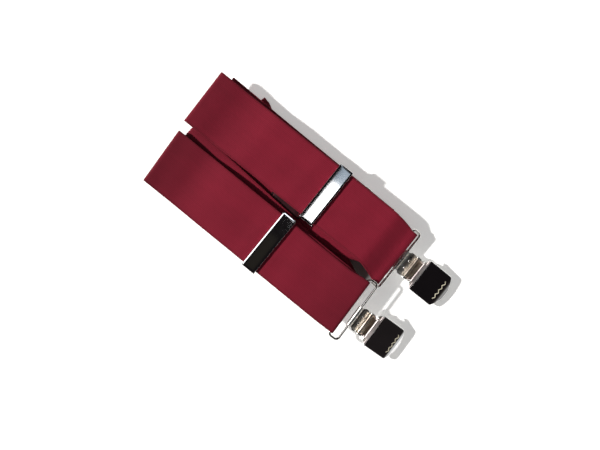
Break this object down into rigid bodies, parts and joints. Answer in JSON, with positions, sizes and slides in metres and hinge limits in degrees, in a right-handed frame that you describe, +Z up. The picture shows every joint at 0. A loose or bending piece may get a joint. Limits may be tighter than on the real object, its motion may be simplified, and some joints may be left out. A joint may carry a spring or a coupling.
{
  "type": "suspenders",
  "caption": "Clip-on X-back elastic braces folded flat in a bundle, with sliding adjusters, wire rings and lever clips.",
  "frame": {"origin": "centre of the bounding box's underside, on the table", "axes": "+X along the straps from the left folds to the front clips, +Y across the straps, +Z up"},
  "size_m": [0.258, 0.1208, 0.0254],
  "materials": {
    "webbing": "woven elastic, matt",
    "leather_patch": "smooth",
    "grip_pad": "moulded, satin",
    "steel_pin": "bright drawn wire",
    "plated_steel": "nickel plated, slightly worn",
    "chrome": "mirror"
  },
  "bodies": {
    "root": {"strap_right": "webbing", "strap_left": "webbing", "strap_tail_right": "webbing", "strap_tail_left": "webbing", "cross_patch_upper": "leather_patch", "cross_patch_lower": "leather_patch"},
    "ring_front_right": {"ring_front_right": "chrome"},
    "clip_front_right": {"clip_base_front_right": "plated_steel", "clip_lever_pin_front_right": "steel_pin", "clip_jaw_pin_front_right": "steel_pin", "clip_spring_front_right": "steel_pin", "clip_pad_lower_front_right": "grip_pad"},
    "lever_front_right": {"clip_lever_front_right": "chrome"},
    "jaw_front_right": {"clip_jaw_front_right": "plated_steel", "clip_pad_upper_front_right": "grip_pad"},
    "ring_front_left": {"ring_front_left": "chrome"},
    "clip_front_left": {"clip_base_front_left": "plated_steel", "clip_lever_pin_front_left": "steel_pin", "clip_jaw_pin_front_left": "steel_pin", "clip_spring_front_left": "steel_pin", "clip_pad_lower_front_left": "grip_pad"},
    "lever_front_left": {"clip_lever_front_left": "chrome"},
    "jaw_front_left": {"clip_jaw_front_left": "plated_steel", "clip_pad_upper_front_left": "grip_pad"},
    "ring_rear_left": {"ring_rear_left": "chrome"},
    "clip_rear_left": {"clip_base_rear_left": "plated_steel", "clip_lever_pin_rear_left": "steel_pin", "clip_jaw_pin_rear_left": "steel_pin", "clip_spring_rear_left": "steel_pin", "clip_pad_lower_rear_left": "grip_pad"},
    "lever_rear_left": {"clip_lever_rear_left": "chrome"},
    "jaw_rear_left": {"clip_jaw_rear_left": "plated_steel", "clip_pad_upper_rear_left": "grip_pad"},
    "ring_rear_right": {"ring_rear_right": "chrome"},
    "clip_rear_right": {"clip_base_rear_right": "plated_steel", "clip_lever_pin_rear_right": "steel_pin", "clip_jaw_pin_rear_right": "steel_pin", "clip_spring_rear_right": "steel_pin", "clip_pad_lower_rear_right": "grip_pad"},
    "lever_rear_right": {"clip_lever_rear_right": "chrome"},
    "jaw_rear_right": {"clip_jaw_rear_right": "plated_steel", "clip_pad_upper_rear_right": "grip_pad"},
    "adjuster_right": {"adjuster_frame_right": "chrome", "adjuster_tail_bar_right": "steel_pin", "adjuster_rivet_outer_right": "steel_pin", "adjuster_rivet_inner_right": "steel_pin"},
    "adjuster_plate_right": {"adjuster_plate_right": "chrome"},
    "adjuster_left": {"adjuster_frame_left": "chrome", "adjuster_tail_bar_left": "steel_pin", "adjuster_rivet_outer_left": "steel_pin", "adjuster_rivet_inner_left": "steel_pin"},
    "adjuster_plate_left": {"adjuster_plate_left": "chrome"}
  },
  "joints": [
    {"name": "ring_swing_front_right", "type": "hinge", "parent": "root", "child": "ring_front_right", "pos_m": [0.07404, 0.02332, 0.0143], "axis": [0, -1, 0], "range_deg": [0, 45]},
    {"name": "clip_swing_front_right", "type": "hinge", "parent": "ring_front_right", "child": "clip_front_right", "pos_m": [0.08192, 0.02532, 0.00975], "axis": [0, -1, 0], "range_deg": [0, 45]},
    {"name": "lever_open_front_right", "type": "hinge", "parent": "clip_front_right", "child": "lever_front_right", "pos_m": [0.09855, 0.02532, 0.0119], "axis": [0, -1, 0], "range_deg": [0, 100]},
    {"name": "jaw_open_front_right", "type": "hinge", "parent": "clip_front_right", "child": "jaw_front_right", "pos_m": [0.09261, 0.02532, 0.0099], "axis": [0, -1, 0], "range_deg": [0, 8]},
    {"name": "ring_swing_front_left", "type": "hinge", "parent": "root", "child": "ring_front_left", "pos_m": [0.07124, -0.03138, 0.0203], "axis": [0.0349, -0.9994, 0], "range_deg": [0, 60]},
    {"name": "clip_swing_front_left", "type": "hinge", "parent": "ring_front_left", "child": "clip_front_left", "pos_m": [0.08038, -0.03476, 0.01903], "axis": [0.0349, -0.9994, 0], "range_deg": [0, 60]},
    {"name": "lever_open_front_left", "type": "hinge", "parent": "clip_front_left", "child": "lever_front_left", "pos_m": [0.09707, -0.03418, 0.01768], "axis": [0.0349, -0.9994, 0], "range_deg": [0, 100]},
    {"name": "jaw_open_front_left", "type": "hinge", "parent": "clip_front_left", "child": "jaw_front_left", "pos_m": [0.09085, -0.0344, 0.01696], "axis": [0.0349, -0.9994, 0], "range_deg": [0, 8]},
    {"name": "ring_swing_rear_left", "type": "hinge", "parent": "root", "child": "ring_rear_left", "pos_m": [0.00674, -0.02928, 0.0066], "axis": [0, 1, 0], "range_deg": [0, 45]},
    {"name": "clip_swing_rear_left", "type": "hinge", "parent": "ring_rear_left", "child": "clip_rear_left", "pos_m": [0.01584, -0.02928, 0.0066], "axis": [0, 1, 0], "range_deg": [0, 45]},
    {"name": "lever_open_rear_left", "type": "hinge", "parent": "clip_rear_left", "child": "lever_rear_left", "pos_m": [0.03184, -0.02928, 0.0016], "axis": [0, 1, 0], "range_deg": [0, 100]},
    {"name": "jaw_open_rear_left", "type": "hinge", "parent": "clip_rear_left", "child": "jaw_rear_left", "pos_m": [0.02634, -0.02928, 0.0046], "axis": [0, 1, 0], "range_deg": [0, 8]},
    {"name": "ring_swing_rear_right", "type": "hinge", "parent": "root", "child": "ring_rear_right", "pos_m": [0.01964, 0.02602, 0.0066], "axis": [0, 1, 0], "range_deg": [0, 45]},
    {"name": "clip_swing_rear_right", "type": "hinge", "parent": "ring_rear_right", "child": "clip_rear_right", "pos_m": [0.02874, 0.02602, 0.0066], "axis": [0, 1, 0], "range_deg": [0, 45]},
    {"name": "lever_open_rear_right", "type": "hinge", "parent": "clip_rear_right", "child": "lever_rear_right", "pos_m": [0.04474, 0.02602, 0.0016], "axis": [0, 1, 0], "range_deg": [0, 100]},
    {"name": "jaw_open_rear_right", "type": "hinge", "parent": "clip_rear_right", "child": "jaw_rear_right", "pos_m": [0.03924, 0.02602, 0.0046], "axis": [0, 1, 0], "range_deg": [0, 8]},
    {"name": "adjuster_slide_right", "type": "slide", "parent": "root", "child": "adjuster_right", "axis": [1, 0, 0], "range_m": [-0.048, 0.036], "deforming": ["strap_tail_right"]},
    {"name": "adjuster_plate_lift_right", "type": "hinge", "parent": "adjuster_right", "child": "adjuster_plate_right", "pos_m": [0.00534, 0.02772, 0.0235], "axis": [0, 1, 0], "range_deg": [0, 60]},
    {"name": "adjuster_slide_left", "type": "slide", "parent": "root", "child": "adjuster_left", "axis": [1, -0.0091, 0], "range_m": [-0.048, 0.036], "deforming": ["strap_tail_left"]},
    {"name": "adjuster_plate_lift_left", "type": "hinge", "parent": "adjuster_left", "child": "adjuster_plate_left", "pos_m": [-0.00656, -0.03183, 0.0235], "axis": [0.0091, 1, 0], "range_deg": [0, 60]}
  ],
  "couplings": [
    {"joint": "jaw_open_front_right", "follows": "lever_open_front_right", "ratio": 0.08},
    {"joint": "jaw_open_front_left", "follows": "lever_open_front_left", "ratio": 0.08},
    {"joint": "jaw_open_rear_left", "follows": "lever_open_rear_left", "ratio": 0.08},
    {"joint": "jaw_open_rear_right", "follows": "lever_open_rear_right", "ratio": 0.08}
  ]
}
